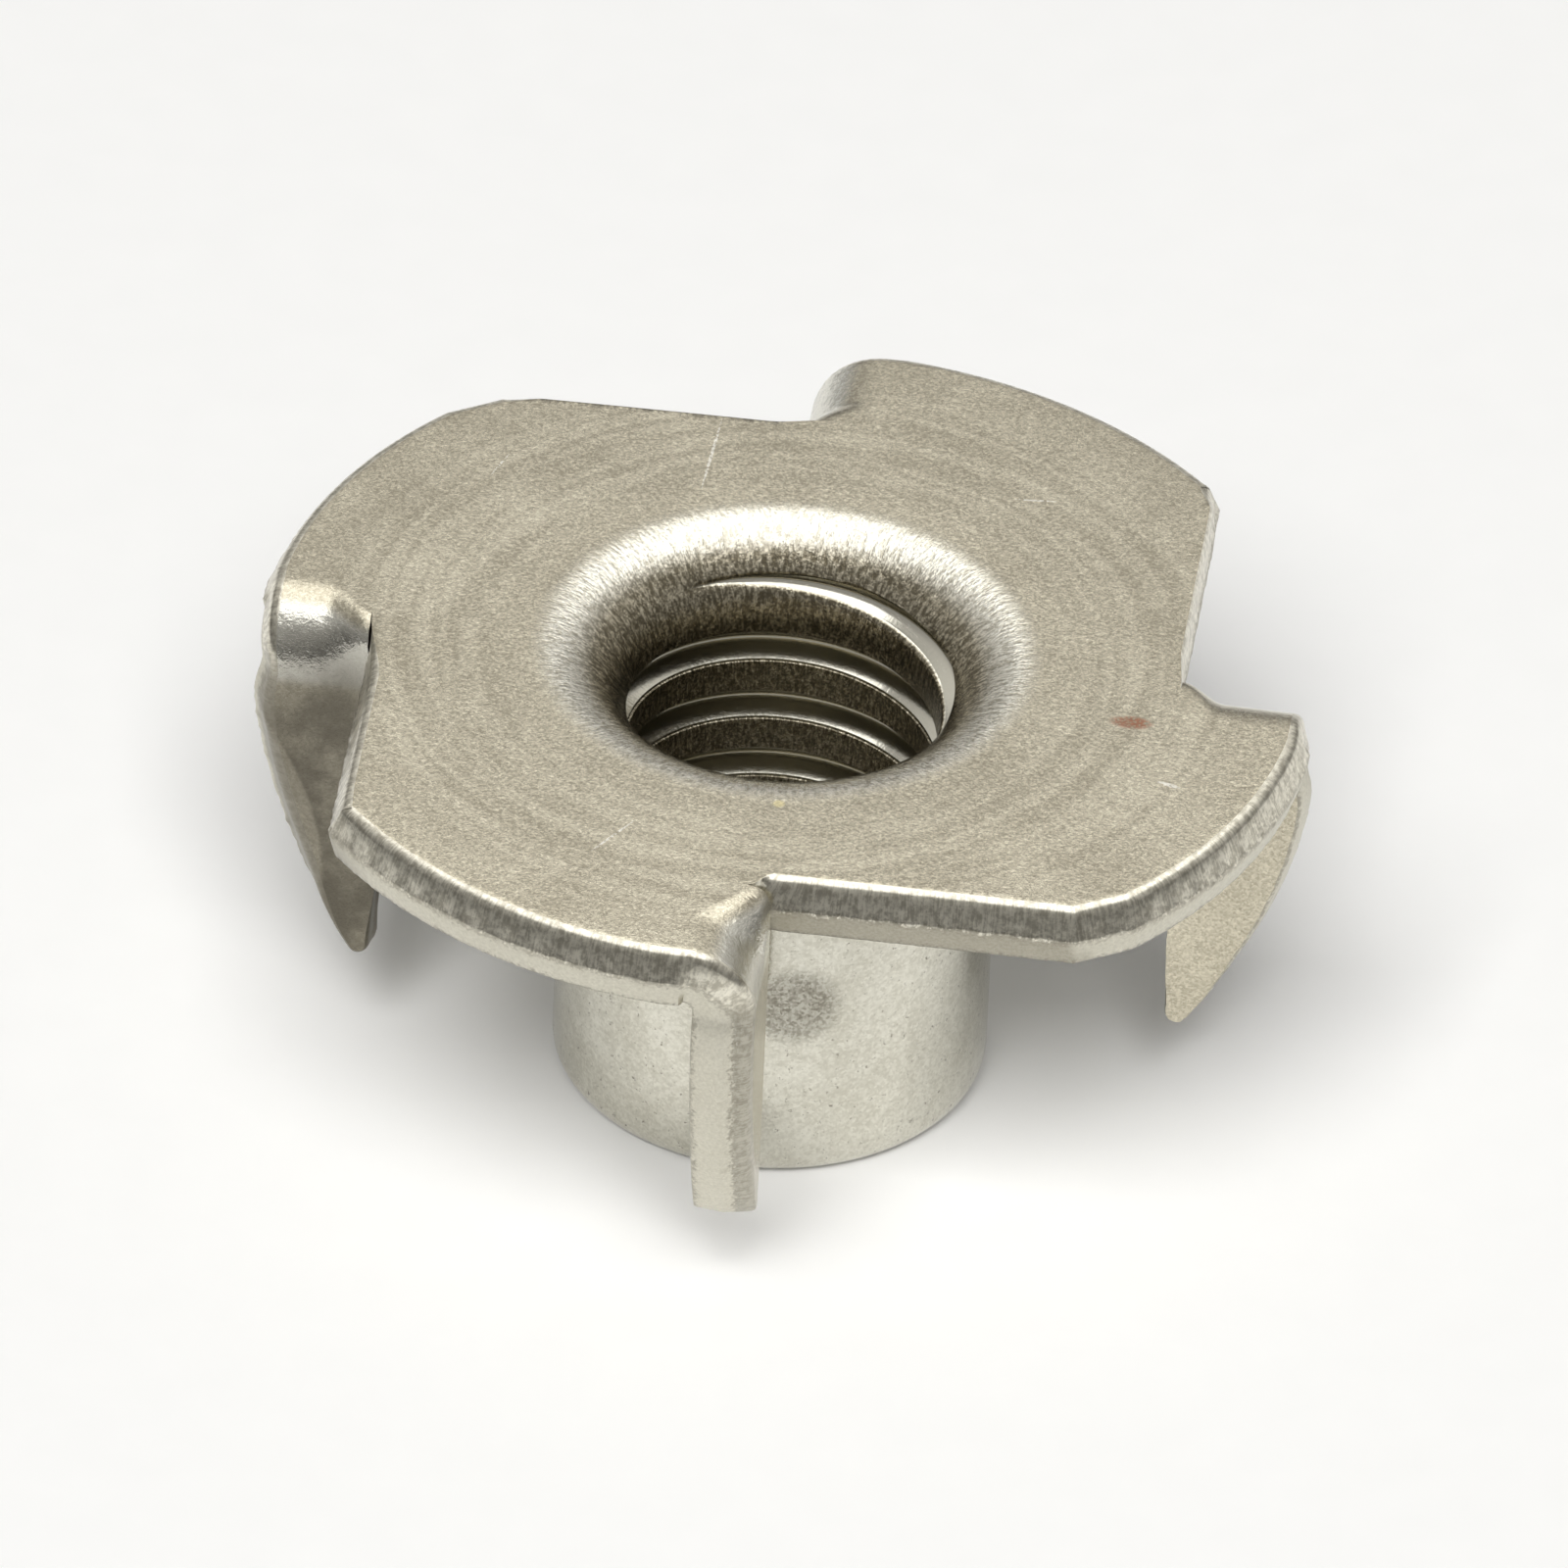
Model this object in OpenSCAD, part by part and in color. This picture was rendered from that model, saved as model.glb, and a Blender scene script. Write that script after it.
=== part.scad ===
// Tee nut with four prongs, cut, drawn and folded from one round blank of sheet steel.
// Millimetres, +Z up. The barrel stands on z = 0, its axis is Z, and the first fold lies along X.

/* [Flange] */
// Diameter of the round blank, which is the flange's outside
flange_d = 19.05; // [18.4:0.05:20.5]
// Thickness of the sheet
sheet_t = 1.1; // [0.9:0.05:1.3]
// Width across the two trimmed corners of the flange
trim_w = 18.3; // [18:0.05:18.4]
// Turn of the trimmed corners past a fold, in degrees
trim_turn = 31.6; // [26:0.1:36]

/* [Barrel] */
// Outside diameter of the barrel
barrel_d = 7.75; // [7.4:0.05:8.4]
// Length of the barrel below the flange
barrel_l = 7.7; // [7.2:0.1:12]
// Radius of the roll from the flange's top into the bore
flare_r = 1.75; // [1.4:0.05:2.1]
// Radius of the corner between the flange's underside and the barrel
neck_r = 0.7; // [0.3:0.05:1]
// Rounding of the barrel's lower outside edge
end_r = 0.45; // [0.2:0.05:0.5]

/* [Thread] */
// Outside diameter of the screw that the bore is tapped for
thread_d = 6.35; // [6:0.01:6.5]
// Pitch of the thread
thread_pitch = 1.27; // [0.9:0.01:1.4]
// Depth of the thread as a percentage of the full one
thread_share = 52; // [45:1:75]
// Chamfer round the bore at the barrel's lower end
lead = 0.35; // [0.2:0.05:0.4]

/* [Prongs] */
// Number of prongs
prong_n = 4; // [3:1:5]
// Distance from the axis to the cut that frees each prong
prong_in = 7.03; // [6.8:0.01:7.4]
// Where the middle of each fold lies, past the radius beside it
fold_mid = -0.17; // [-0.4:0.01:0.1]
// Radius inside the fold
fold_r = 0.2; // [0.1:0.05:0.5]
// Length over which the inner end of the cut runs out into the fold
runout = 0.6; // [0.4:0.05:0.9]
// Rounding of each prong's tip
tip_r = 0.25; // [0.1:0.01:0.4]
// How far the flange stands out past the prong's inner edge at the notch that was cut wide
overhang = 0.36; // [0:0.01:0.5]

/* [Hidden] */
$fn = 96;
blank_r = flange_d / 2;
total_h = barrel_l + sheet_t;
bore_r = thread_d / 2 - 0.6495 * thread_pitch * thread_share / 100;
barrel_r = barrel_d / 2;
hub_r = max(bore_r + flare_r, barrel_r + neck_r) + 0.4;
reach = 2 * blank_r;
step = 360 / prong_n;
// The fold keeps its length along a line four tenths through the sheet. That length is even in
// hundredths, so that flange, fold and prong meet face to face.
fold_out_r = fold_r + sheet_t;
fold_len = 2 * round(PI / 4 * (fold_r + 0.4 * sheet_t) * 100) / 100;
fold_y = fold_mid - fold_len / 2;
prong_y = fold_mid + fold_len / 2;
prong_face = fold_y + fold_out_r;
// The rim is straight for a short way across each fold.
fold_end = blank_r - 0.06;
// The trims stand square to this direction, counted from the last prong's fold.
trim_angle = trim_turn - step;
// Centre of each prong's tip circle along the prong, where it touches the cut and the rim.
tip_x = prong_in + tip_r;
tip_y = sqrt(pow(blank_r - tip_r, 2) - pow(tip_x, 2));
tip_side = atan2(tip_y, tip_x);
// The notch that was cut wide, counted from the first fold.
wide_notch = 2;
// Radius in plan of the run-out from the cut to the fold line.
runout_r = (pow(runout, 2) + pow(fold_out_r, 2)) / (2 * runout);

// Outline of the flat blank: the round, with a short straight at each fold.
module blank() {
    difference() {
        circle(blank_r);
        for (k = [0 : prong_n - 1])
            rotate(k * step)
                translate([fold_end, -reach])
                    square([reach, 2 * reach]);
    }
}

// What leaves the flange's plane at one prong, less the run-out at the inner end of its cut.
module notch(past) {
    translate([prong_in + past, 0])
        difference() {
            translate([0, fold_y])
                square([reach, reach]);
            difference() {
                translate([-1, fold_y - 1])
                    square([runout + 1, fold_out_r + 1]);
                translate([runout_r, prong_face])
                    circle(runout_r + 0.01);
            }
        }
}

// The flat part of the flange outside the hub.
module plate() {
    translate([0, 0, barrel_l])
        linear_extrude(sheet_t)
            difference() {
                blank();
                for (k = [0 : prong_n - 1])
                    rotate(k * step)
                        notch(k == wide_notch ? overhang : 0);
                for (side = [0, 180])
                    rotate(trim_angle + side)
                        translate([trim_w / 2, -reach])
                            square([reach, 2 * reach]);
                circle(hub_r);
            }
}

// Half section of the hub: the drawn barrel, its corners, the bore and the roll into it.
module hub_section() {
    difference() {
        union() {
            translate([bore_r, end_r])
                square([barrel_r - bore_r, total_h - end_r]);
            translate([bore_r, 0])
                square([barrel_r - end_r - bore_r, end_r]);
            translate([barrel_r - end_r, end_r])
                circle(end_r);
            translate([bore_r, barrel_l])
                square([hub_r - bore_r, sheet_t]);
            difference() {
                translate([barrel_r, barrel_l - neck_r])
                    square(neck_r);
                translate([barrel_r + neck_r, barrel_l - neck_r])
                    circle(neck_r);
            }
        }
        difference() {
            translate([bore_r, total_h - flare_r])
                square([flare_r, flare_r]);
            translate([bore_r + flare_r, total_h - flare_r])
                circle(flare_r);
        }
        polygon([[bore_r - 1, -1], [bore_r + lead + 1, -1], [bore_r - 1, lead + 1]]);
    }
}

// The quarter turn of sheet between the flange and a prong.
module fold() {
    translate([prong_in, fold_y, total_h - fold_out_r])
        rotate([90, 0, 90])
            rotate_extrude(angle = 90)
                translate([fold_r, 0])
                    square([sheet_t, fold_end - prong_in]);
}

// The strip that the wide notch leaves over its prong, filled in down to the end of the fold.
module web() {
    translate([prong_in, fold_mid, total_h - fold_out_r])
        cube([overhang, prong_face - fold_mid, fold_out_r]);
}

// Flat shape of a prong past its fold, with x from the axis and y along the prong.
module prong_outline() {
    cut_side = [prong_in, tip_y];
    rim_side = [tip_x, tip_y] + tip_r * [cos(tip_side), sin(tip_side)];
    along = (rim_side - cut_side) / norm(rim_side - cut_side);
    intersection() {
        blank();
        translate([prong_in, prong_y])
            square([reach, reach]);
        union() {
            polygon([
                [prong_in - 1, fold_y],
                [reach, fold_y],
                [reach, (rim_side + along)[1]],
                rim_side + along,
                cut_side - along,
            ]);
            translate([tip_x, tip_y])
                circle(1.08 * tip_r);
        }
    }
}

module prong() {
    translate([0, prong_face - sheet_t, total_h - fold_out_r + prong_y])
        rotate([-90, 0, 0])
            linear_extrude(sheet_t)
                prong_outline();
}

module tee_nut() {
    color([0.66, 0.64, 0.6]) {
        plate();
        rotate_extrude()
            hub_section();
        for (k = [0 : prong_n - 1])
            rotate(k * step) {
                fold();
                prong();
            }
        if (overhang > 0)
            rotate(wide_notch * step)
                web();
    }
}

tee_nut();
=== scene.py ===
import math

import bpy
import numpy as np
from mathutils import Matrix, Vector
from mathutils.geometry import delaunay_2d_cdt


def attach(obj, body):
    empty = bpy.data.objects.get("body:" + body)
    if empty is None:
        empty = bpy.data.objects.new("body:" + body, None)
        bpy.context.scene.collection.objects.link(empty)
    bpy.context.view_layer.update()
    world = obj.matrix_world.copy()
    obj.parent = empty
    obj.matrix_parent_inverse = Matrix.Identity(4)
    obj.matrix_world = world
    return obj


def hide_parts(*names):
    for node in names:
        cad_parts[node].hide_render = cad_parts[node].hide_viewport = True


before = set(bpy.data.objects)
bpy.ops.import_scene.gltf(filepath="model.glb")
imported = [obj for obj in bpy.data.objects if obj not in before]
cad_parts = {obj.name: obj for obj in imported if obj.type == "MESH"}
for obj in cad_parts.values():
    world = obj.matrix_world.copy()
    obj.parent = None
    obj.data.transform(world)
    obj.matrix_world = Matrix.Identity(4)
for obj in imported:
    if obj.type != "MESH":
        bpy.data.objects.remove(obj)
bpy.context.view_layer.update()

# Sizes in millimetres, the main ones as in the part's source. The mesh is made in metres.
RIM_R = 9.525
SHEET = 1.1
TOP = 8.8
UNDER = TOP - SHEET
TRIM = 9.15
TRIM_TURN = math.radians(31.6)
CUT_X = 7.03
OVERHANG = 0.36
WIDE_NOTCH = 2
FOLD_LEN = 1.0
FOLD_MID = -0.17
FOLD_Y = FOLD_MID - FOLD_LEN / 2
PRONG_Y = FOLD_MID + FOLD_LEN / 2
FOLD_IN = 0.2
FOLD_OUT = FOLD_IN + SHEET
FACE = FOLD_Y + FOLD_OUT
DROP = FOLD_OUT - PRONG_Y
FOLD_END = 9.465
TIP_R = 0.25
CORNER_R = 0.2
BORE_R = 2.746
FLARE = 1.75
BARREL_R = 3.875
NECK = 0.7
END_R = 0.45
LEAD = 0.35
PITCH = 1.27
THREAD_R = 3.175
ROOT_HALF = PITCH / 16
# The thread's groove lies this far below the top at this angle in degrees, so at this height on the X axis.
FIRST_TURN_DROP = 0.69
FIRST_TURN_AT = 95.65
GROOVE_Z = TOP - FIRST_TURN_DROP - PITCH * FIRST_TURN_AT / 360
# Steps across the thread's groove and across its crest.
GROOVE_STEPS = 14
CREST_STEPS = 12
# Width of each slit in the flat blank, and how far it runs past the start of its prong's bend.
SLIT = 0.006
SLIT_PAST = 0.02
# Length over which each fold tightens towards its slit, and its radius there.
RUNOUT = [0.8, 0.8, 0.9, 1.2]
RUNOUT_R = [0.5, 0.6, 0.5, 0.4]
# Share of the full roll on each slit's lobe, and the length over which it grows from the slit's end.
LOBE_ROLL = [0.3, 0.5, 0.9, 1.0]
OPENING = [1.2, 1.2, 2.0, 0.4]
# Share of the full roll on a prong's side of its slit, and round its tip.
SLIT_ROLL = 0.08
TIP_ROLL = 0.35
# Lengths over which the roll changes: into a lobe's corner, along the rim to a tip, along a slit to a tip,
# and along a prong's side from the slit's end.
CORNER_GROWTH = 0.8
RIM_FADE = 2.0
TIP_GROWTH = 1.2
SLIT_GROWTH = 1.2
# A fold moves only what lies further out than this along it and nearer than this across it.
FOLD_FROM = 4.5
FOLD_WITHIN = 7.6
# Where a fold is tight, the stretch of the sheet is spread over this much of the prong below it.
SPARE = 0.6
# The sheet's under side is dragged in round each slit's end, over these lengths across and along the slit.
DRAG_ACROSS = 0.6
DRAG_ALONG = 0.9
# How far the flange's rim lies below its middle: the press leaves it very slightly domed.
DOME = 0.055
# The flat blank meets the revolved hub on this circle, which has this many points.
HUB_R = 5.2
TURNS = 192
# The roll from the flange into the bore has plain rings down to this angle, and the thread's net below it.
MOUTH_SWEEP = 36.0
# Rings of points round the mouth, the barrel's lower edge, the barrel and its upper corner.
MOUTH_RINGS = 12
END_RINGS = 7
BARREL_RINGS = 16
NECK_RINGS = 8
# Edges of the mesh that turn by more than this, in degrees, are shaded sharp.
SHARP_FROM = 40
QUARTER = math.pi / 2
# The sheared edge from the top down, as distance in from the outline and depth below the top.
ROLL = 0.4
EDGE = [
    (0.35, 0.008), (0.285, 0.03), (0.23, 0.07), (0.19, 0.13), (0.11, 0.32), (0.025, 0.5),
    (0.0, 0.56), (0.05, 0.75), (0.1, 0.93), (0.14, 1.06), (0.19, 1.1),
]
# The edge stands in by this much, and its tear waves in and out, and up and down between two depths.
EDGE_INSET = 0.012
TEAR_WAVE = 0.012
TEAR_RISE = 0.045
TEAR_FROM = 0.4
TEAR_TO = 0.6
# The tear's waves: radians for each millimetre, start and share. They die out over this length at a fold.
TEAR_WAVES = [(9.1, 0.0, 0.4), (23.7, 1.3, 0.35), (41.3, 0.4, 0.25)]
TEAR_REST = 0.8
# The left prong stands out a little from square: by about this much for each millimetre below its fold,
# after a softer start of about this length.
LEAN = 0.105
LEAN_START = 0.5
# A flat was struck on its outer face: its crease runs from the rim, below the fold, in to this distance.
CREASE_IN = 8.02
CREASE_SWEEP = 1.43
CREASE_DROP = 5.6
CREASE_RISE = 3.7
CREASE_POWER = 2.2
FACET_WIDTH = 1.2
FACET_SLOPE = 0.42
# The wide notch's prong is spread to the width of the others over this length past its fold, and is
# longer by this factor.
SPREAD = 0.8
STRETCH = 1.073
# Each prong's rim is pinched in at the lower end of its fold, from this distance off the axis outwards.
PINCH_FROM = 8.5
PINCH_GROWTH = 0.9
PINCH = 0.13
PINCH_DROP = 1.15
PINCH_SPREAD = 0.4
# Spacing of the points on the flat blank's edge and inside it, with a finer net round each slit's end.
# That net is shifted a little, so that none of its points lies on the slit.
EDGE_SPACING = 0.1
GRID = 0.13
GRID_ROW = GRID * 0.866
FINE_GRID = 0.05
FINE_HALF = 1.0
FINE_SHIFT_X = 0.013
FINE_SHIFT_Y = 0.017
EDGE_CLEARANCE = 0.03
HUB_CLEARANCE = 0.09
# Order of the finishes on the piece.
SKIN, SHEARED, THREADED, IRONED = range(4)


def smooth(value):
    value = np.clip(value, 0.0, 1.0)
    return value * value * (3.0 - 2.0 * value)


def turned(points, angle):
    c, s = math.cos(angle), math.sin(angle)
    points = np.asarray(points, float)
    return np.stack([points[:, 0] * c - points[:, 1] * s, points[:, 0] * s + points[:, 1] * c], 1)


def cut_at(k):
    """Distance from the axis to the slit beside prong k."""
    return CUT_X + (OVERHANG if k == WIDE_NOTCH else 0.0)


def slit_end(k):
    """Where slit k ends, measured along it: just past where its prong starts to bend."""
    return FACE - RUNOUT_R[k] - SLIT_PAST


def rim_at(angle, trimmed):
    """Distance from the axis to the blank's edge, from a lobe's corner round to the next prong's tip."""
    reach = np.minimum(RIM_R, FOLD_END / np.maximum(np.cos(angle - QUARTER), 0.5))
    if trimmed:
        reach = np.minimum(reach, TRIM / np.maximum(np.cos(angle - TRIM_TURN), 0.5))
    return reach


def arc(centre, radius, start, end, count):
    angles = np.linspace(start, end, count)
    return np.stack([centre[0] + radius * np.cos(angles), centre[1] + radius * np.sin(angles)], 1)


def line(start, end):
    count = max(2, int(math.dist(start, end) / EDGE_SPACING) + 1)
    return np.linspace(start, end, count)


def blank_outline():
    """The slit blank's edge, anticlockwise: lobe, rim, prong tip, and down that prong's side of its slit.

    With each point comes the share of the edge's full roll that it has, which dies out at a slit's end.
    """
    loop = []
    roll = []
    for k in range(4):
        trimmed = k % 2 == 1
        here = k * QUARTER
        after = here + QUARTER
        following = (k + 1) % 4
        next_cut = cut_at(following)
        lobe_x = cut_at(k) - SLIT / 2
        prong_x = next_cut + SLIT / 2
        corner_x = lobe_x - CORNER_R
        if trimmed:
            corner_y = (TRIM - CORNER_R - corner_x * math.cos(TRIM_TURN)) / math.sin(TRIM_TURN)
            corner_side = TRIM_TURN
        else:
            corner_y = math.sqrt((RIM_R - CORNER_R) ** 2 - corner_x ** 2)
            corner_side = math.atan2(corner_y, corner_x)
        tip_x = prong_x + TIP_R
        tip_y = math.sqrt((RIM_R - TIP_R) ** 2 - tip_x ** 2)
        tip_side = math.atan2(tip_y, tip_x)
        cut = line((lobe_x, slit_end(k)), (lobe_x, corner_y))
        bend = arc((corner_x, corner_y), CORNER_R, 0.0, corner_side, 9)
        tip_arc = arc((tip_x, tip_y), TIP_R, tip_side, math.pi, 16)
        rim_from = math.atan2(bend[-1, 1], bend[-1, 0])
        rim_to = math.atan2(tip_arc[0, 1], tip_arc[0, 0]) + QUARTER
        angles = np.linspace(rim_from, rim_to, int((rim_to - rim_from) * RIM_R / EDGE_SPACING))
        reach = rim_at(angles, trimmed)
        rim = np.stack([reach * np.cos(angles), reach * np.sin(angles)], 1)
        side = line((prong_x, tip_y), (prong_x, slit_end(following)))
        end = arc((next_cut, slit_end(following)), SLIT / 2, 0.0, -math.pi, 9)
        for part, turn in ((cut, here), (bend, here), (rim, here), (tip_arc, after), (side, after)):
            loop.append(turned(part[:-1], turn))
        loop.append(turned(end, after))
        to_tip = np.linalg.norm(rim[:-1] - rim[-1], axis=1)
        opened = smooth((cut[:-1, 1] - slit_end(k)) / OPENING[k])
        near_corner = smooth((cut[:-1, 1] - corner_y + CORNER_GROWTH) / CORNER_GROWTH)
        roll.append((LOBE_ROLL[k] + (1 - LOBE_ROLL[k]) * near_corner) * opened)
        roll.append(np.ones(len(bend) - 1))
        roll.append(TIP_ROLL + (1 - TIP_ROLL) * smooth(to_tip / RIM_FADE))
        roll.append(np.full(len(tip_arc) - 1, TIP_ROLL))
        near_tip = smooth((side[:-1, 1] - tip_y + TIP_GROWTH) / TIP_GROWTH)
        freed = smooth((side[:-1, 1] - slit_end(following)) / SLIT_GROWTH)
        roll.append((SLIT_ROLL + (TIP_ROLL - SLIT_ROLL) * near_tip) * freed)
        roll.append(np.zeros(len(end)))
    return np.concatenate(loop), np.concatenate(roll)


def outward(loop):
    along = np.roll(loop, -1, 0) - np.roll(loop, 1, 0)
    along /= np.linalg.norm(along, axis=1)[:, None]
    return np.stack([along[:, 1], -along[:, 0]], 1)


def facet_depth(x, drop):
    """How deep the flat struck on the left prong's outer face lies, at a distance down the prong."""
    rise = np.clip((CREASE_DROP - drop) / CREASE_RISE, 0.0, 1.0)
    crease = CREASE_IN + CREASE_SWEEP * rise ** CREASE_POWER
    return np.clip(x - crease, 0.0, FACET_WIDTH) * FACET_SLOPE


def folded(points, under=False):
    """A point of the flat blank, on its upper or under side, where the folds carry it."""
    points = np.asarray(points, float)
    base = UNDER if under else TOP
    place = np.concatenate([points, np.full((len(points), 1), base)], 1)
    for k in range(4):
        local = turned(points, -k * QUARTER)
        x, y = local[:, 0].copy(), local[:, 1].copy()
        cut = cut_at(k)
        near = (x > FOLD_FROM) & (np.abs(y) < FOLD_WITHIN)
        prong = near & (x > cut)
        dragged = np.zeros(len(x), bool)
        if under:
            across = (x - cut) / DRAG_ACROSS
            along = (y - slit_end(k)) / DRAG_ALONG
            drag = np.exp(-(across ** 2)) * np.exp(-(along ** 2))
            dragged = near & (drag > 1e-4)
            y = np.where(dragged, y - (slit_end(k) + SLIT_PAST / 2 - FOLD_Y) * drag, y)
            grown = np.ones(len(x))
            radius = np.full(len(x), FOLD_IN)
            start = np.full(len(x), FOLD_Y)
        else:
            grown = smooth((x - cut) / RUNOUT[k])
            radius = RUNOUT_R[k] + (FOLD_OUT - RUNOUT_R[k]) * grown
            start = FACE - radius
        if k == WIDE_NOTCH:
            past = smooth((y - PRONG_Y) / SPREAD)
            wider = FOLD_END - (FOLD_END - x) * (FOLD_END - CUT_X) / (FOLD_END - cut)
            x = np.where(prong, x + (wider - x) * past, x)
            y = np.where(prong & (y > PRONG_Y), PRONG_Y + (y - PRONG_Y) * STRETCH, y)
        fall = (FOLD_IN if under else FOLD_OUT) - radius
        quarter = radius * QUARTER
        spare = SPARE * (1 - grown)
        path = (y - start) / (PRONG_Y + spare - start) * (quarter + fall + spare)
        turn = np.clip(path / radius, 0.0, QUARTER)
        new_y = start + radius * np.sin(turn)
        new_z = base - radius * (1 - np.cos(turn)) - np.maximum(path - quarter, 0.0)
        new_z = np.where(y > PRONG_Y + spare, TOP - DROP - y, new_z)
        bent = prong & (y > start)
        drop = TOP - new_z
        pinched = np.exp(-(((drop - PINCH_DROP) / PINCH_SPREAD) ** 2))
        pinched = pinched * smooth((x - PINCH_FROM) / PINCH_GROWTH)
        if k == WIDE_NOTCH:
            below = np.maximum(drop - FOLD_OUT, 0.0)
            new_y = new_y + LEAN * below ** 2 / (below + LEAN_START)
            if not under:
                new_y = new_y - facet_depth(x, drop)
        out_x = np.where(bent, x - PINCH * pinched, x)
        out_y = np.where(bent, new_y, y)
        moved = turned(np.stack([out_x, out_y], 1), k * QUARTER)
        change = bent | dragged
        place[change, :2] = moved[change]
        place[bent, 2] = new_z[bent]
    out = np.clip((np.linalg.norm(points, axis=1) - HUB_R) / (RIM_R - HUB_R), 0.0, 1.0)
    place[:, 2] -= DOME * out ** 2
    return place


def inside_loop(points, loop):
    """Which points lie inside a closed line, by counting the crossings of a ray."""
    x1, y1 = loop[:, 0], loop[:, 1]
    x2, y2 = np.roll(x1, -1), np.roll(y1, -1)
    rise = np.where(y2 == y1, 1e-12, y2 - y1)
    hits = np.zeros(len(points), bool)
    for part in np.array_split(np.arange(len(points)), 60):
        x, y = points[part, 0][:, None], points[part, 1][:, None]
        crossed = ((y1 > y) != (y2 > y)) & (x < (x2 - x1) * (y - y1) / rise + x1)
        hits[part] = crossed.sum(1) % 2 == 1
    return hits


def blank_triangles(edge, hub):
    """Triangles of the flat blank between the hub's circle and the edge's inner line."""
    xs = np.arange(-RIM_R, RIM_R, GRID)
    ys = np.arange(-RIM_R, RIM_R, GRID_ROW)
    gx, gy = np.meshgrid(xs, ys)
    gx[1::2] += GRID / 2
    fine_steps = np.arange(-FINE_HALF, FINE_HALF, FINE_GRID)
    fx, fy = np.meshgrid(fine_steps, fine_steps)
    grid = np.stack([gx.ravel(), gy.ravel()], 1)
    grid = grid[np.linalg.norm(grid, axis=1) > HUB_R + HUB_CLEARANCE]
    for k in range(4):
        local = turned(grid, -k * QUARTER)
        close_x = np.abs(local[:, 0] - cut_at(k)) < FINE_HALF
        close_y = np.abs(local[:, 1] - slit_end(k)) < FINE_HALF
        fine_x = fx.ravel() + cut_at(k) + FINE_SHIFT_X
        fine_y = fy.ravel() + slit_end(k) + FINE_SHIFT_Y
        fine = turned(np.stack([fine_x, fine_y], 1), k * QUARTER)
        grid = np.concatenate([grid[~(close_x & close_y)], fine])
    grid = grid[inside_loop(grid, edge)]
    clear = np.ones(len(grid), bool)
    for part in np.array_split(np.arange(len(grid)), 60):
        gap = grid[part][:, None, :] - edge[None, :, :]
        clear[part] = (gap ** 2).sum(2).min(1) > EDGE_CLEARANCE ** 2
    grid = grid[clear]
    points = np.concatenate([edge, hub, grid])
    n, m = len(edge), len(hub)
    edges = [(i, (i + 1) % n) for i in range(n)]
    edges += [(n + i, n + (i + 1) % m) for i in range(m)]
    made = delaunay_2d_cdt([Vector(p) for p in points], edges, [], 0, 1e-6)
    spots = np.array([tuple(v) for v in made[0]])
    faces = np.array([f for f in made[2] if len(f) == 3])
    place = {}
    for new, olds in enumerate(made[3]):
        for old in olds:
            place[old] = new
    middle = spots[faces].mean(1)
    inside = (np.linalg.norm(middle, axis=1) > HUB_R * 0.9997) & inside_loop(middle, edge)
    faces = faces[inside]
    edge_at = [place[i] for i in range(n)]
    hub_at = [place[n + i] for i in range(m)]
    return spots, faces, edge_at, hub_at


def wall_radius(z):
    """The bore before its thread: the roll from the flange, the plain bore and the lead at the lower end."""
    depth = TOP - z
    dip = np.clip(FLARE - depth, 0.0, FLARE)
    flare = BORE_R + FLARE - np.sqrt(np.maximum(FLARE ** 2 - dip ** 2, 0.0))
    return np.where(depth < FLARE, flare, BORE_R) + np.maximum(LEAD - z, 0.0)


def groove_radius(angle, z):
    """The thread's groove: sixty degree flanks and a narrow flat root."""
    phase = (z - GROOVE_Z - PITCH * angle / (2 * math.pi)) / PITCH
    offset = np.abs(phase - np.round(phase)) * PITCH
    return THREAD_R - np.maximum(offset - ROOT_HALF, 0.0) * math.sqrt(3)


class Builder:
    """Collects points, faces, each face's finish, and each point's place down and along a sheared edge."""

    def __init__(self):
        self.points, self.faces, self.finish, self.depth, self.along = [], [], [], [], []

    def add(self, points, depth=0.0, along=None):
        start = len(self.points)
        self.points += [tuple(p) for p in points]
        self.depth += [depth] * len(points)
        self.along += [0.0] * len(points) if along is None else list(along)
        return list(range(start, len(self.points)))

    def face(self, corners, finish):
        kept = [c for i, c in enumerate(corners) if c != corners[i - 1]]
        if len(set(kept)) >= 3:
            self.faces.append(kept)
            self.finish.append(finish)

    def strip(self, upper, lower, finish):
        count = len(upper)
        for i in range(count):
            j = (i + 1) % count
            self.face([upper[i], upper[j], lower[j], lower[i]], finish)


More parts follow.
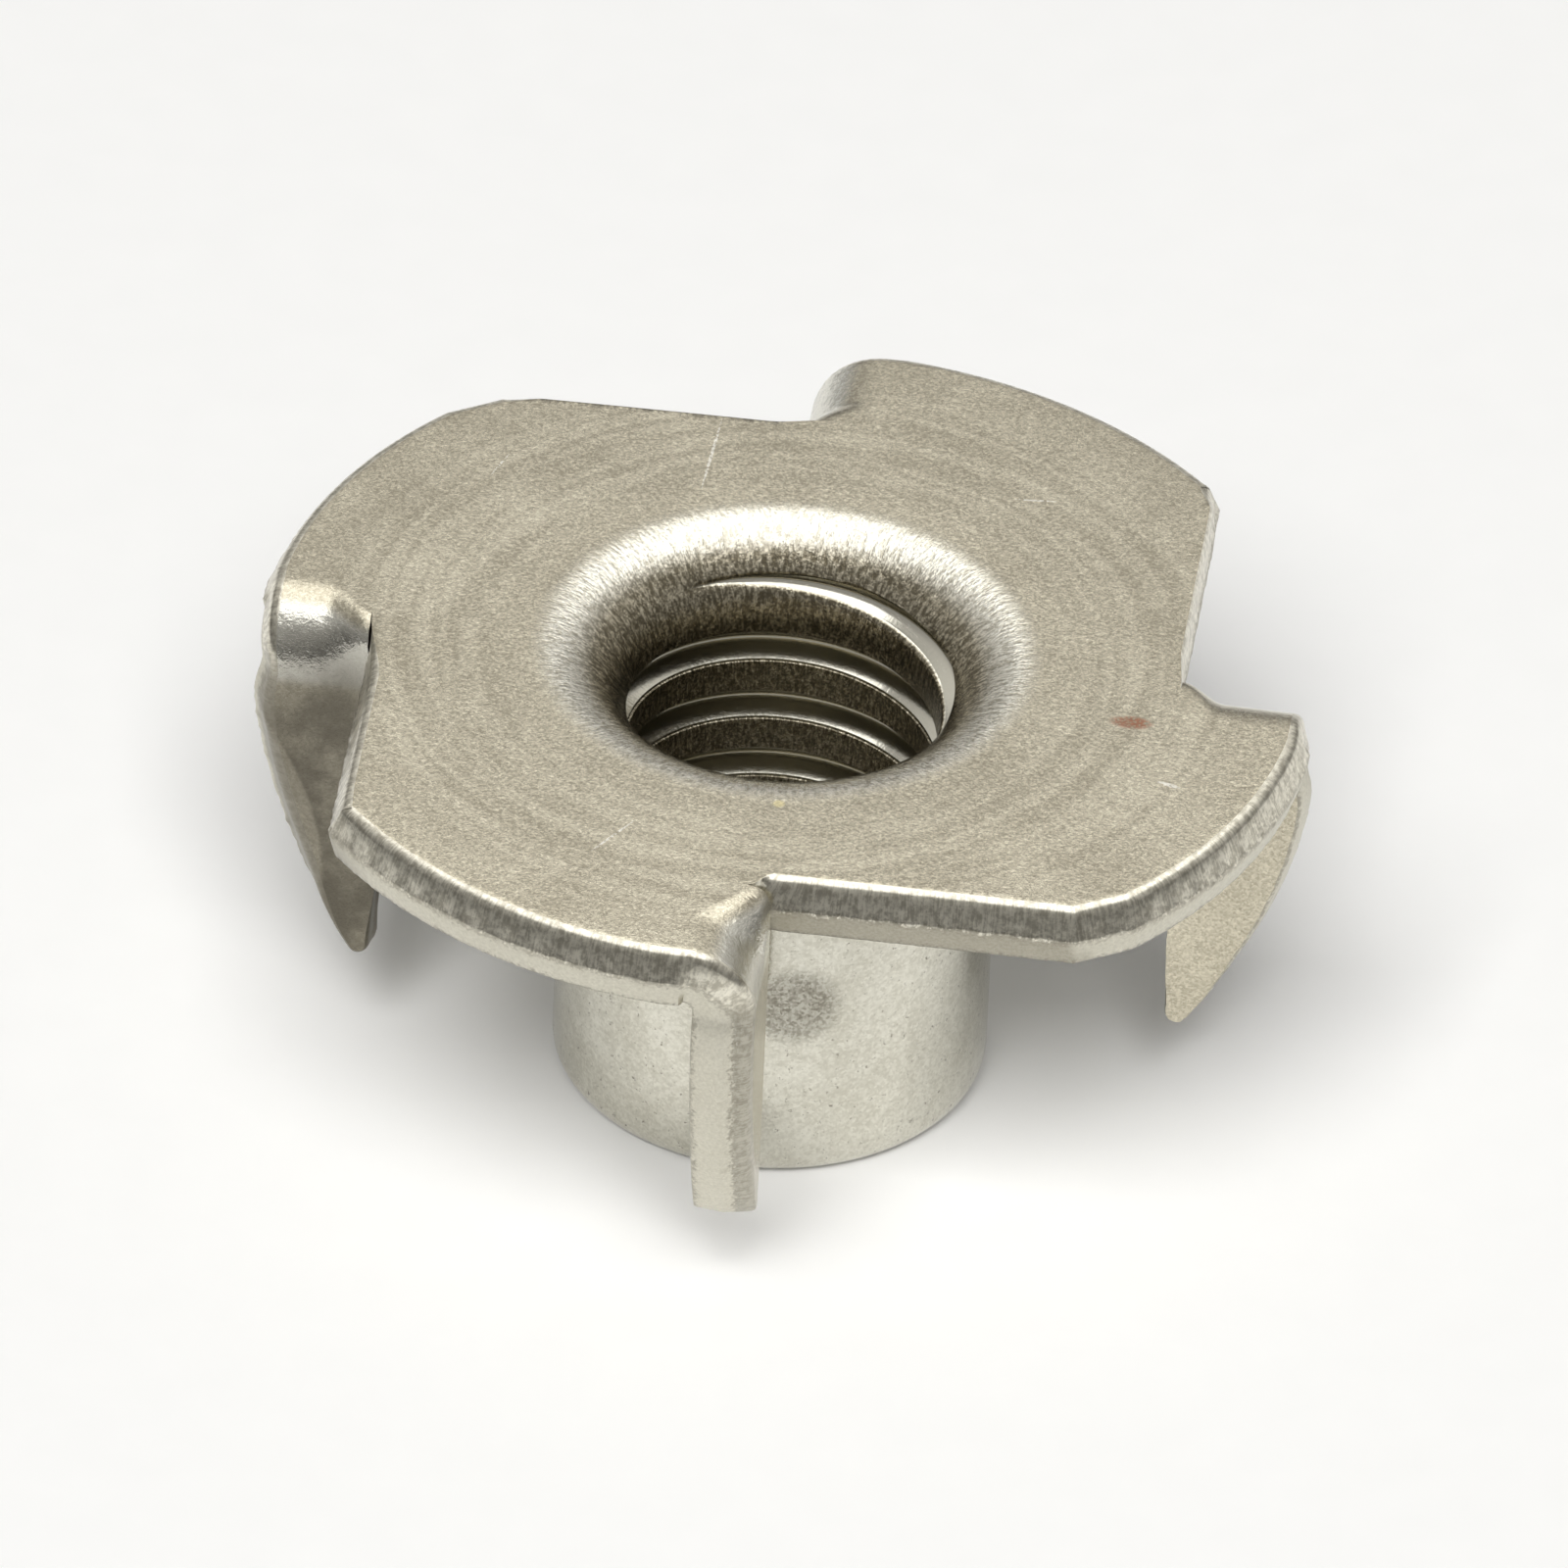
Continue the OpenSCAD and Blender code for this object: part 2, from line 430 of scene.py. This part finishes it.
def build_nut():
    made = Builder()
    outline, roll = blank_outline()
    normal = outward(outline)
    angles = np.arange(TURNS) / TURNS * 2 * math.pi
    hub = np.stack([HUB_R * np.cos(angles), HUB_R * np.sin(angles)], 1)
    spots, faces, edge_at, hub_at = blank_triangles(outline - normal * (ROLL * roll)[:, None], hub)

    upper = made.add(folded(spots))
    lower = made.add(folded(spots, under=True), 1.0)
    for a, b, c in faces:
        made.face([upper[a], upper[b], upper[c]], SKIN)
        made.face([lower[c], lower[b], lower[a]], SKIN)

    along = np.concatenate([[0.0], np.cumsum(np.linalg.norm(np.diff(outline, axis=0), axis=1))])
    tear = sum(np.sin(along * rate + start) * share for rate, start, share in TEAR_WAVES)
    for k in range(4):
        local = turned(outline, -k * QUARTER)
        tear *= 1 - np.exp(-(((local[:, 1] - FOLD_MID) / TEAR_REST) ** 2)) * (local[:, 0] > CUT_X)
    above = [upper[i] for i in edge_at]
    for inset, depth in EDGE:
        rise = TEAR_RISE if TEAR_FROM < depth < TEAR_TO else 0.0
        wave = TEAR_WAVE if depth > TEAR_FROM else 0.0
        stand_in = (EDGE_INSET + wave * tear) * np.minimum(roll / SLIT_ROLL, 1.0)
        flat = outline - normal * (inset * roll + stand_in)[:, None]
        level = (depth + rise * tear) / SHEET
        high, low = folded(flat), folded(flat, under=True)
        row = made.add(high + (low - high) * level[:, None], depth / SHEET, along)
        made.strip(row, above, SHEARED)
        above = row
    made.strip([lower[i] for i in edge_at], above, SKIN)

    def ring(radius, z):
        radius = np.broadcast_to(radius, (TURNS,))
        return made.add(np.stack([radius * np.cos(angles), radius * np.sin(angles), np.full(TURNS, z)], 1))

    before = [upper[i] for i in hub_at]
    sweep = [math.radians(a) for a in np.linspace(0.0, MOUTH_SWEEP, MOUTH_RINGS)]
    for turn in sweep:
        row = ring(BORE_R + FLARE - FLARE * math.sin(turn), TOP - FLARE * (1 - math.cos(turn)))
        made.strip(before, row, SKIN)
        before = row

    high = TOP - FLARE * (1 - math.cos(sweep[-1]))
    mouth = before
    foot = ring(np.maximum(wall_radius(np.zeros(TURNS)), groove_radius(angles, 0.0)), 0.0)
    groove_half = ROOT_HALF + (THREAD_R - BORE_R) / math.sqrt(3)
    groove = np.linspace(-groove_half, groove_half, GROOVE_STEPS + 1)[:-1]
    crest = np.linspace(groove_half, PITCH - groove_half, CREST_STEPS + 1)[:-1]
    one_turn = np.concatenate([groove, crest])
    per_turn = len(one_turn)
    top_groove = GROOVE_Z + PITCH * math.ceil((high - GROOVE_Z) / PITCH + 0.5)
    turns = int(top_groove / PITCH) + 3
    levels = top_groove - np.concatenate([one_turn + PITCH * n for n in range(turns)])
    count = len(levels)
    table = np.zeros((TURNS, count), int)
    for i, angle in enumerate(angles):
        zs = levels + PITCH * angle / (2 * math.pi)
        radii = np.maximum(wall_radius(zs), groove_radius(angle, zs))
        for m, z in enumerate(zs):
            if z >= high - 1e-4:
                table[i, m] = mouth[i]
            elif z <= 1e-4:
                table[i, m] = foot[i]
            else:
                table[i, m] = made.add([(radii[m] * math.cos(angle), radii[m] * math.sin(angle), z)])[0]
    for i in range(TURNS):
        j = (i + 1) % TURNS
        shift = per_turn if j == 0 else 0
        for m in range(count - 1):
            left = [table[i, m], table[i, m + 1]]
            right = [table[j, max(m - shift, 0)], table[j, max(m + 1 - shift, 0)]]
            made.face([left[0], right[0], right[1], left[1]], THREADED)

    before = foot
    for turn in np.linspace(0.0, QUARTER, END_RINGS):
        row = ring(BARREL_R - END_R + END_R * math.sin(turn), END_R * (1 - math.cos(turn)))
        made.strip(before, row, IRONED)
        before = row
    for z in np.linspace(END_R, UNDER - NECK, BARREL_RINGS)[1:]:
        row = ring(BARREL_R, z)
        made.strip(before, row, IRONED)
        before = row
    for turn in np.linspace(0.0, QUARTER, NECK_RINGS)[1:]:
        row = ring(BARREL_R + NECK - NECK * math.cos(turn), UNDER - NECK + NECK * math.sin(turn))
        made.strip(before, row, IRONED)
        before = row
    made.strip(before, [lower[i] for i in hub_at], SKIN)

    mesh = bpy.data.meshes.new("tee_nut_body")
    mesh.from_pydata((np.array(made.points) / 1000.0).tolist(), [], made.faces)
    mesh.polygons.foreach_set("material_index", np.array(made.finish, np.int32))
    mesh.polygons.foreach_set("use_smooth", np.ones(len(made.faces), bool))
    for name, values in (("shear_depth", made.depth), ("shear_along", made.along)):
        attribute = mesh.attributes.new(name, "FLOAT", "POINT")
        attribute.data.foreach_set("value", np.array(values, np.float32))
    mesh.validate()
    mesh.update()
    mesh.set_sharp_from_angle(angle=math.radians(SHARP_FROM))
    nut = bpy.data.objects.new("tee_nut_body", mesh)
    bpy.context.scene.collection.objects.link(nut)
    return nut


class Nodes:
    """Short forms for a node tree: add a node, set its sockets, link it."""

    def __init__(self, tree):
        self.tree = tree
        tree.nodes.clear()

    def add(self, kind, **values):
        node = self.tree.nodes.new(kind)
        for name, value in values.items():
            setattr(node, name, value)
        return node

    def put(self, node, **sockets):
        for name, value in sockets.items():
            socket = node.inputs[int(name[1:])] if name[0] == "i" and name[1:].isdigit() else None
            socket = socket or node.inputs[name.replace("_", " ")]
            if isinstance(value, bpy.types.NodeSocket):
                self.tree.links.new(value, socket)
            else:
                socket.default_value = value
        return node

    def math(self, operation, a, b=0.0, clamp=False):
        node = self.add("ShaderNodeMath", operation=operation, use_clamp=clamp)
        return self.put(node, i0=a, i1=b).outputs[0]

    def plus(self, a, b):
        return self.math("ADD", a, b)

    def minus(self, a, b):
        return self.math("SUBTRACT", a, b)

    def times(self, a, b):
        return self.math("MULTIPLY", a, b)

    def over(self, a, b):
        return self.math("DIVIDE", a, b)

    def noise(self, where, scale, detail=2.0, roughness=0.5, distortion=0.0):
        node = self.add("ShaderNodeTexNoise")
        self.put(node, Vector=where, Scale=scale, Detail=detail, Roughness=roughness, Distortion=distortion)
        return node.outputs[0]

    def between(self, value, low, high, out_low=0.0, out_high=1.0):
        node = self.add("ShaderNodeMapRange", interpolation_type="SMOOTHSTEP")
        self.put(node, i0=value, i1=low, i2=high, i3=out_low, i4=out_high)
        return node.outputs[0]

    def mix(self, factor, a, b):
        node = self.add("ShaderNodeMix", data_type="RGBA")
        self.put(node, i0=factor, i6=a, i7=b)
        return node.outputs[2]


def millimetres(nodes):
    """The piece's own coordinates, in millimetres, with the distance and the angle round the axis."""
    place = nodes.add("ShaderNodeTexCoord").outputs["Object"]
    scale = nodes.add("ShaderNodeVectorMath", operation="SCALE")
    scaled = nodes.put(scale, i0=place, Scale=1000.0).outputs[0]
    split = nodes.put(nodes.add("ShaderNodeSeparateXYZ"), i0=scaled)
    x, y, z = split.outputs
    flat = nodes.put(nodes.add("ShaderNodeCombineXYZ"), i0=x, i1=y)
    radius = nodes.put(nodes.add("ShaderNodeVectorMath", operation="LENGTH"), i0=flat.outputs[0]).outputs[1]
    angle = nodes.math("ARCTAN2", y, x)
    return scaled, x, y, z, radius, angle


def new_material(name):
    material = bpy.data.materials.new(name)
    material.use_nodes = True
    return material, Nodes(material.node_tree)


def finish_metal(nodes, color, roughness, height, strength, distance):
    bump = nodes.put(nodes.add("ShaderNodeBump"), Strength=strength, Distance=distance, Height=height)
    metal = nodes.put(
        nodes.add("ShaderNodeBsdfPrincipled"),
        Base_Color=color,
        Metallic=1.0,
        Roughness=roughness,
        Normal=bump.outputs[0],
    )
    out = nodes.add("ShaderNodeOutputMaterial")
    nodes.put(out, Surface=metal.outputs[0])


def speckle(nodes, place, fine, coarse):
    """A fine grain with no one size, about a half on average."""
    cells = nodes.put(nodes.add("ShaderNodeTexVoronoi", feature="F1"), Vector=place, Scale=fine)
    facets = nodes.put(nodes.add("ShaderNodeSeparateColor"), i0=cells.outputs["Color"]).outputs[0]
    large = nodes.noise(place, coarse, 4.0, 0.7)
    return nodes.plus(nodes.times(facets, 0.3), nodes.times(large, 0.7))


def drawn_grain(nodes, z, radius, angle):
    """The grain where the sheet was drawn down into the bore: stretched along the radius."""
    around = nodes.times(angle, 48.0)
    outwards = nodes.times(radius, 4.0)
    level = nodes.times(z, 4.0)
    where = nodes.put(nodes.add("ShaderNodeCombineXYZ"), i0=around, i1=outwards, i2=level).outputs[0]
    return nodes.noise(where, 1.0, 3.0, 0.6)


def blend(nodes, share, first, second):
    """From the first value to the second as the share goes from nothing to one."""
    return nodes.plus(first, nodes.times(nodes.minus(second, first), share))


def mouth_skin(nodes, place, z, radius, angle):
    """The skin drawn down into the bore: burnished pale at the top, darker and flecked below."""
    grain = speckle(nodes, place, 24.0, 9.0)
    streaks = drawn_grain(nodes, z, radius, angle)
    flecks = blend(nodes, 0.6, grain, streaks)
    dark = nodes.mix(nodes.between(flecks, 0.42, 0.62), (0.22, 0.19, 0.13, 1.0), (0.7, 0.64, 0.5, 1.0))
    pale = nodes.mix(nodes.between(flecks, 0.36, 0.56), (0.54, 0.51, 0.42, 1.0), (0.82, 0.795, 0.71, 1.0))
    color = nodes.mix(nodes.between(z, TOP - 0.42, TOP - 0.1), dark, pale)
    rough = nodes.between(grain, 0.3, 0.7, 0.13, 0.25)
    return color, rough, nodes.times(flecks, 3.2)


def blot(nodes, a, b, middle, half):
    """One inside an ellipse in two of the coordinates, fading to nothing at its edge."""
    first = nodes.over(nodes.minus(a, middle[0]), half[0])
    second = nodes.over(nodes.minus(b, middle[1]), half[1])
    apart = nodes.plus(nodes.times(first, first), nodes.times(second, second))
    return nodes.between(apart, 1.0, 0.2)


def scratch(nodes, x, y, start, end, half_width):
    """One along a thin straight line on the flange's top."""
    length = math.dist(start, end)
    c, s = (end[0] - start[0]) / length, (end[1] - start[1]) / length
    dx = nodes.minus(x, (start[0] + end[0]) / 2)
    dy = nodes.minus(y, (start[1] + end[1]) / 2)
    along = nodes.plus(nodes.times(dx, c), nodes.times(dy, s))
    across = nodes.minus(nodes.times(dy, c), nodes.times(dx, s))
    return blot(nodes, along, across, middle=(0.0, 0.0), half=(length / 2, half_width))


# Marks, as middle and half size: painted shade on the left prong and a painted reflection of the front prong
# on the barrel in X and Z, stain and spot in X and Y.
PRONG_SHADE = ((-8.0, 4.7), (2.4, 4.6))
PRONG_REFLECTION = ((0.8, 3.8), (0.95, 0.95))
STAIN = ((6.52, -1.08), (0.42, 0.22))
SPOT = ((0.44, -4.57), (0.13, 0.13))
# Scratches on the flange's top: start, end and half width.
SCRATCHES = [
    ((-2.0, 6.87), (-2.11, 4.4), 0.035),
    ((6.9, -2.72), (7.4, -2.86), 0.06),
    ((-2.7, -6.6), (-1.95, -5.4), 0.03),
    ((-5.87, 4.3), (-5.6, 5.1), 0.025),
    ((3.38, 5.22), (4.25, 5.29), 0.03),
]


def painted_prong_shade(nodes, x, y, z):
    """One on the outer face of the left prong below its fold, where painted shade darkens it, a little less
    on its struck flat.
    """
    covered = nodes.times(blot(nodes, x, z, *PRONG_SHADE), nodes.between(y, -0.1, -0.4))
    where = nodes.put(nodes.add("ShaderNodeCombineXYZ"), i0=x, i2=z).outputs[0]
    patchy = nodes.between(nodes.noise(where, 1.1, 4.0, 0.65), 0.25, 0.6, 0.75, 1.0)
    covered = nodes.times(covered, patchy)
    rise = nodes.math("DIVIDE", nodes.minus(z, TOP - CREASE_DROP), CREASE_RISE, clamp=True)
    sweep = nodes.times(nodes.math("POWER", rise, CREASE_POWER), CREASE_SWEEP)
    past = nodes.plus(nodes.plus(x, CREASE_IN), sweep)
    return nodes.times(covered, nodes.between(past, -0.05, 0.05, 0.78, 1.0))


def sheet_steel():
    """The sheet's own skin: pickled to a fine grain, ringed by the press, and drawn out round the bore."""
    material, nodes = new_material("sheet_steel")
    place, x, y, z, radius, angle = millimetres(nodes)
    grain = speckle(nodes, place, 26.0, 11.0)
    drawn = nodes.between(radius, 4.62, 4.05)
    kept = nodes.minus(1.0, drawn)
    mouth_color, mouth_rough, mouth_height = mouth_skin(nodes, place, z, radius, angle)
    height = blend(nodes, drawn, grain, mouth_height)
    below_top = nodes.between(z, TOP - 0.1, TOP - 0.25)
    above_prong = nodes.between(z, TOP - 1.5, TOP - 1.2)
    folds = nodes.times(nodes.times(below_top, above_prong), kept)
    stretched = nodes.times(nodes.noise(place, 6.5, 3.0, 0.6, 0.6), folds)
    height = nodes.plus(height, nodes.times(stretched, 1.6))
    top = nodes.between(z, TOP - 0.12, TOP - 0.07)
    smear = nodes.put(nodes.add("ShaderNodeCombineXYZ"), i0=nodes.times(radius, 3.0),
                      i1=nodes.times(angle, 1.2))
    rings = nodes.between(nodes.noise(smear.outputs[0], 1.0, 2.0, 0.55), 0.36, 0.64)
    ringed = nodes.times(nodes.between(radius, 4.9, 5.6), nodes.between(radius, 8.6, 7.6))
    rings = nodes.times(nodes.minus(rings, 0.5), nodes.times(ringed, top))
    patches = nodes.noise(place, 0.45, 3.0, 0.55)
    tone = nodes.plus(nodes.times(grain, 1.5), nodes.times(patches, 0.7))
    tone = nodes.plus(tone, nodes.times(rings, 0.24))
    tone = nodes.between(tone, 0.45, 1.75)
    color = nodes.mix(tone, (0.36, 0.325, 0.245, 1.0), (0.74, 0.69, 0.555, 1.0))
    color = nodes.mix(drawn, color, mouth_color)
    color = nodes.mix(nodes.times(folds, 0.85), color, (0.86, 0.845, 0.77, 1.0))
    # Painted shade on the left prong's outer face.
    color = nodes.mix(nodes.times(painted_prong_shade(nodes, x, y, z), 0.95), color, (0.115, 0.104, 0.082, 1.0))
    stain_x = nodes.plus(x, nodes.times(patches, 0.5))
    stain = blot(nodes, stain_x, y, *STAIN)
    stain = nodes.times(nodes.times(stain, nodes.between(grain, 0.3, 0.55)), 0.9)
    color = nodes.mix(nodes.times(stain, top), color, (0.36, 0.15, 0.085, 1.0))
    spot = nodes.times(blot(nodes, x, y, *SPOT), 0.6)
    color = nodes.mix(nodes.times(spot, top), color, (0.9, 0.8, 0.45, 1.0))
    lines = scratch(nodes, x, y, *SCRATCHES[0])
    for ends in SCRATCHES[1:]:
        lines = nodes.math("MAXIMUM", lines, scratch(nodes, x, y, *ends))
    lines = nodes.times(nodes.times(lines, nodes.between(grain, 0.36, 0.55)), top)
    color = nodes.mix(nodes.times(lines, 0.55), color, (0.95, 0.94, 0.9, 1.0))
    rough = nodes.plus(nodes.times(grain, 0.16), 0.12)
    rough = nodes.plus(rough, nodes.times(lines, 0.25))
    rough = blend(nodes, drawn, rough, mouth_rough)
    finish_metal(nodes, color, rough, height, strength=0.6, distance=0.00002)
    return material


def barrel_steel():
    """The barrel's outside: ironed pale and smooth, with a fine mottle, small dark pits and a painted dark
    reflection of the front prong.
    """
    material, nodes = new_material("barrel_steel")
    place, x, y, z, _, _ = millimetres(nodes)
    grain = speckle(nodes, place, 20.0, 7.0)
    patches = nodes.noise(place, 0.8, 3.0, 0.6)
    pits = nodes.between(nodes.noise(place, 8.0, 4.0, 0.75), 0.38, 0.32)
    tone = nodes.plus(nodes.times(grain, 0.7), nodes.times(patches, 0.6))
    color = nodes.mix(nodes.between(tone, 0.4, 0.9), (0.53, 0.51, 0.435, 1.0), (0.73, 0.715, 0.635, 1.0))
    # A painted reflection: the front prong's dark reflection on the barrel's front.
    painted_reflection = blot(nodes, x, z, *PRONG_REFLECTION)
    painted_reflection = nodes.times(painted_reflection, nodes.between(y, 0.0, -1.0))
    painted_reflection = nodes.times(painted_reflection, nodes.between(grain, 0.3, 0.65, 0.9, 0.45))
    color = nodes.mix(painted_reflection, color, (0.18, 0.165, 0.13, 1.0))
    color = nodes.mix(pits, color, (0.25, 0.23, 0.19, 1.0))
    height = nodes.minus(grain, pits)
    rough = nodes.between(grain, 0.3, 0.7, 0.06, 0.17)
    finish_metal(nodes, color, rough, height, strength=0.35, distance=0.00001)
    return material


def sheared_steel():
    """The edges that the shear left: a mottled smooth band above, a dark tear line and a torn band below.

    The tear starts higher on the hanging prongs, where the smooth band is painted darker as painted shade,
    and the torn band is painted darker along the slits as painted shade.
    """
    material, nodes = new_material("sheared_steel")
    place, x, y, z, radius, _ = millimetres(nodes)
    depth = nodes.add("ShaderNodeAttribute", attribute_name="shear_depth").outputs["Fac"]
    grain = speckle(nodes, place, 18.0, 6.0)
    along = nodes.add("ShaderNodeAttribute", attribute_name="shear_along").outputs["Fac"]
    across = nodes.put(nodes.add("ShaderNodeCombineXYZ"), i0=along, i1=nodes.times(depth, 0.12))
    striped = nodes.noise(across.outputs[0], 22.0, 3.0, 0.6)
    wavy = nodes.plus(depth, nodes.times(nodes.minus(grain, 0.5), 0.35))
    hanging = nodes.between(z, TOP - 0.8, TOP - 1.5)
    early = nodes.plus(wavy, nodes.times(hanging, 0.2))
    torn = nodes.between(early, 0.46, 0.52)
    mottle = blend(nodes, 0.4, nodes.noise(place, 7.0, 4.0, 0.7), striped)
    smeared = nodes.mix(nodes.between(mottle, 0.4, 0.6), (0.48, 0.45, 0.37, 1.0), (0.86, 0.825, 0.71, 1.0))
    # Painted shade: the smooth band is darker on the hanging prongs.
    smeared = nodes.mix(nodes.times(hanging, 0.6), smeared, (0.22, 0.205, 0.165, 1.0))
    tear = nodes.noise(place, 16.0, 4.0, 0.7)
    ragged = nodes.mix(tear, (0.44, 0.415, 0.34, 1.0), (0.82, 0.795, 0.69, 1.0))
    # Painted shade: the darker torn band along the slits.
    painted_slit_shade = nodes.mix(tear, (0.27, 0.25, 0.195, 1.0), (0.57, 0.54, 0.455, 1.0))
    out = nodes.math("MAXIMUM", nodes.math("ABSOLUTE", x), nodes.math("ABSOLUTE", y))
    slit = nodes.between(nodes.math("ABSOLUTE", nodes.minus(out, CUT_X)), 0.4, 0.3)
    slit = nodes.times(slit, nodes.between(radius, 9.3, 9.1))
    color = nodes.mix(torn, smeared, nodes.mix(slit, ragged, painted_slit_shade))
    burr = nodes.between(wavy, 0.9, 1.0)
    color = nodes.mix(nodes.times(burr, 0.55), color, (0.2, 0.18, 0.14, 1.0))
    # Painted shade on the left prong's edge.
    color = nodes.mix(nodes.times(painted_prong_shade(nodes, x, y, z), 0.85), color, (0.15, 0.135, 0.105, 1.0))
    lip = nodes.times(nodes.between(early, 0.43, 0.48), nodes.between(early, 0.56, 0.5))
    color = nodes.mix(nodes.times(lip, 0.4), color, (0.24, 0.215, 0.17, 1.0))
    rough = nodes.between(torn, 0.0, 1.0, 0.3, 0.42)
    height = nodes.plus(striped, nodes.times(nodes.minus(grain, striped), torn))
    finish_metal(nodes, color, rough, height, strength=0.3, distance=0.000008)
    return material


def threaded_steel():
    """The tapped bore: darker, speckled on the crests and bright where the tap burnished the flanks."""
    material, nodes = new_material("threaded_steel")
    place, _, _, z, radius, angle = millimetres(nodes)
    above = nodes.math("MAXIMUM", nodes.minus(z, TOP - FLARE), 0.0)
    chord = nodes.math("SQRT", nodes.minus(FLARE * FLARE, nodes.times(above, above)))
    wall = nodes.minus(BORE_R + FLARE, chord)
    skin = nodes.between(nodes.minus(radius, wall), 0.06, 0.02)
    mouth_color, mouth_rough, mouth_height = mouth_skin(nodes, place, z, radius, angle)
    color = nodes.mix(skin, (0.74, 0.715, 0.62, 1.0), mouth_color)
    rough = blend(nodes, skin, 0.14, mouth_rough)
    height = nodes.times(mouth_height, nodes.plus(nodes.times(skin, 0.9), 0.1))
    finish_metal(nodes, color, rough, height, strength=0.6, distance=0.00002)
    return material


# Where the lights aim, in metres.
NUT = (0.0, 0.0, 0.008)


def add_floor():
    """A pale floor that also glows a little where the camera or a reflection sees it."""
    mesh = bpy.data.meshes.new("floor")
    half = 4.0
    corners = [(-half, -half, 0.0), (half, -half, 0.0), (half, half, 0.0), (-half, half, 0.0)]
    mesh.from_pydata(corners, [], [(0, 1, 2, 3)])
    floor = bpy.data.objects.new("floor", mesh)
    bpy.context.scene.collection.objects.link(floor)
    material, nodes = new_material("floor_white")
    place = nodes.add("ShaderNodeTexCoord").outputs["Object"]
    grain = nodes.noise(place, 900.0, 2.0, 0.5)
    color = nodes.mix(grain, (0.86, 0.86, 0.855, 1.0), (0.89, 0.89, 0.885, 1.0))
    matt = nodes.put(nodes.add("ShaderNodeBsdfDiffuse"), Color=color)
    path = nodes.add("ShaderNodeLightPath").outputs
    seen = nodes.math("MAXIMUM", path["Is Camera Ray"], path["Is Glossy Ray"])
    glow = nodes.put(nodes.add("ShaderNodeEmission"), Color=(1.0, 1.0, 1.0, 1.0),
                     Strength=nodes.times(seen, 0.08))
    both = nodes.put(nodes.add("ShaderNodeAddShader"), i0=matt.outputs[0], i1=glow.outputs[0])
    nodes.put(nodes.add("ShaderNodeOutputMaterial"), Surface=both.outputs[0])
    mesh.materials.append(material)


def add_light(name, place, width, depth, radiance, color):
    """A rectangular light of even radiance, turned towards the nut."""
    lamp = bpy.data.lights.new(name, "AREA")
    lamp.shape = "RECTANGLE"
    lamp.size = width
    lamp.size_y = depth
    lamp.energy = radiance * math.pi * width * depth
    lamp.color = color
    holder = bpy.data.objects.new(name, lamp)
    holder.location = place
    toward = Vector(NUT) - Vector(place)
    holder.rotation_euler = toward.to_track_quat("-Z", "Y").to_euler()
    bpy.context.scene.collection.objects.link(holder)
    return holder


def add_world():
    """Surroundings for the reflections: pale behind and above, darker in front, and faint as light."""
    world = bpy.data.worlds.new("studio")
    bpy.context.scene.world = world
    world.use_nodes = True
    nodes = Nodes(world.node_tree)
    way = nodes.add("ShaderNodeTexCoord").outputs["Generated"]
    split = nodes.put(nodes.add("ShaderNodeSeparateXYZ"), i0=way)
    back = nodes.between(split.outputs[1], -0.2, 0.7, 0.33, 0.7)
    high = nodes.between(split.outputs[2], 0.15, 0.5, 0.35, 1.0)
    shade = nodes.times(back, high)
    path = nodes.add("ShaderNodeLightPath").outputs
    seen = nodes.math("MAXIMUM", path["Is Camera Ray"], path["Is Glossy Ray"])
    shade = nodes.times(shade, nodes.between(seen, 0.0, 1.0, 0.2, 1.0))
    paint = nodes.put(nodes.add("ShaderNodeBackground"), Color=(1.0, 0.985, 0.95, 1.0), Strength=shade)
    nodes.put(nodes.add("ShaderNodeOutputWorld"), Surface=paint.outputs[0])


# The camera's angles in degrees, and its distance and shifts in millimetres from the flange's middle.
CAMERA_TILT = 36.367
CAMERA_TURN = 5.648
CAMERA_ROLL = 2.575
CAMERA_DISTANCE = 800.0
CAMERA_ASIDE = -0.045
CAMERA_UP = -2.3704
# The focal length in widths of the picture.
FOCAL_WIDTHS = 46063.9 / 1600.0
SENSOR = 36.0


def add_camera():
    """The view: far off and long, a little turned from the front prong's fold, and slightly rolled."""
    tilt = math.radians(CAMERA_TILT)
    turn = math.radians(CAMERA_TURN)
    roll = math.radians(CAMERA_ROLL)
    back = Vector((math.cos(tilt) * math.sin(turn), -math.cos(tilt) * math.cos(turn), math.sin(tilt)))
    right = Vector((math.cos(turn), math.sin(turn), 0.0))
    up = back.cross(right)
    across = right * math.cos(roll) + up * math.sin(roll)
    upright = up * math.cos(roll) - right * math.sin(roll)
    aim = across * CAMERA_ASIDE + upright * CAMERA_UP + Vector((0.0, 0.0, TOP))
    place = back * CAMERA_DISTANCE + aim
    lens = bpy.data.cameras.new("camera")
    lens.sensor_width = SENSOR
    lens.lens = FOCAL_WIDTHS * SENSOR
    holder = bpy.data.objects.new("camera", lens)
    axes = Matrix((across, upright, back)).transposed().to_4x4()
    holder.matrix_world = Matrix.Translation(place / 1000.0) @ axes
    bpy.context.scene.collection.objects.link(holder)
    bpy.context.scene.camera = holder


nut = build_nut()
for material in (sheet_steel(), sheared_steel(), threaded_steel(), barrel_steel()):
    nut.data.materials.append(material)
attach(nut, "root")
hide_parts("tee_nut")

add_floor()
add_world()
# The overhead light is only mirrored by the steel. The key light isn't mirrored: it lights the floor.
overhead = add_light(
    "overhead", (0.05, 0.319, 1.568), width=1.6, depth=1.96, radiance=1.6, color=(0.99, 0.99, 0.985)
)
overhead.visible_diffuse = False
key = add_light("key", (0.0, -0.9, 1.2), width=1.0, depth=0.7, radiance=12.6, color=(1.0, 0.995, 0.98))
key.visible_glossy = False
add_camera()
bpy.context.scene.view_settings.view_transform = "Standard"
